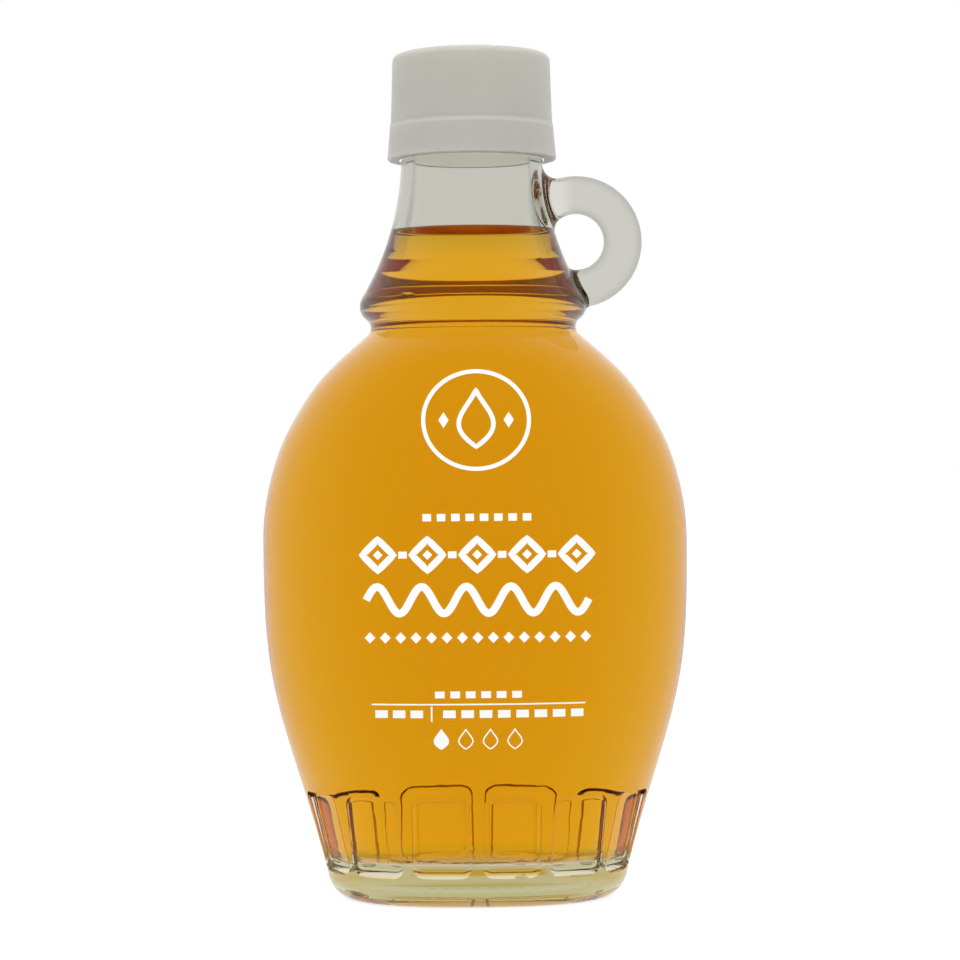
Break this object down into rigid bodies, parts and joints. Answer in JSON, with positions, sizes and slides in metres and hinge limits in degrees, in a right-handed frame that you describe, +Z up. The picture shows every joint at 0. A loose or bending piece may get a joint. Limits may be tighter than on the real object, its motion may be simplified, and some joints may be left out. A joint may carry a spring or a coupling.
{
  "type": "maple syrup bottle",
  "caption": "Flat-sided glass syrup flask with a ring-shaped finger loop at the neck, a white screw cap and amber syrup filled to the neck.",
  "frame": {"origin": "centre of the flat underside, on the axis of the neck", "axes": "+Z up along the neck, broad faces towards -Y and +Y, finger loop on the +X side"},
  "size_m": [0.0776, 0.0532, 0.1537],
  "materials": {
    "bottle": "clear moulded glass with a faint green tinge",
    "syrup": "clear amber liquid",
    "cap": "satin white moulded plastic, slightly translucent",
    "print": "opaque white ink on the glass"
  },
  "bodies": {
    "root": {"bottle": "bottle", "syrup": "syrup", "cap": "cap"}
  },
  "joints": []
}
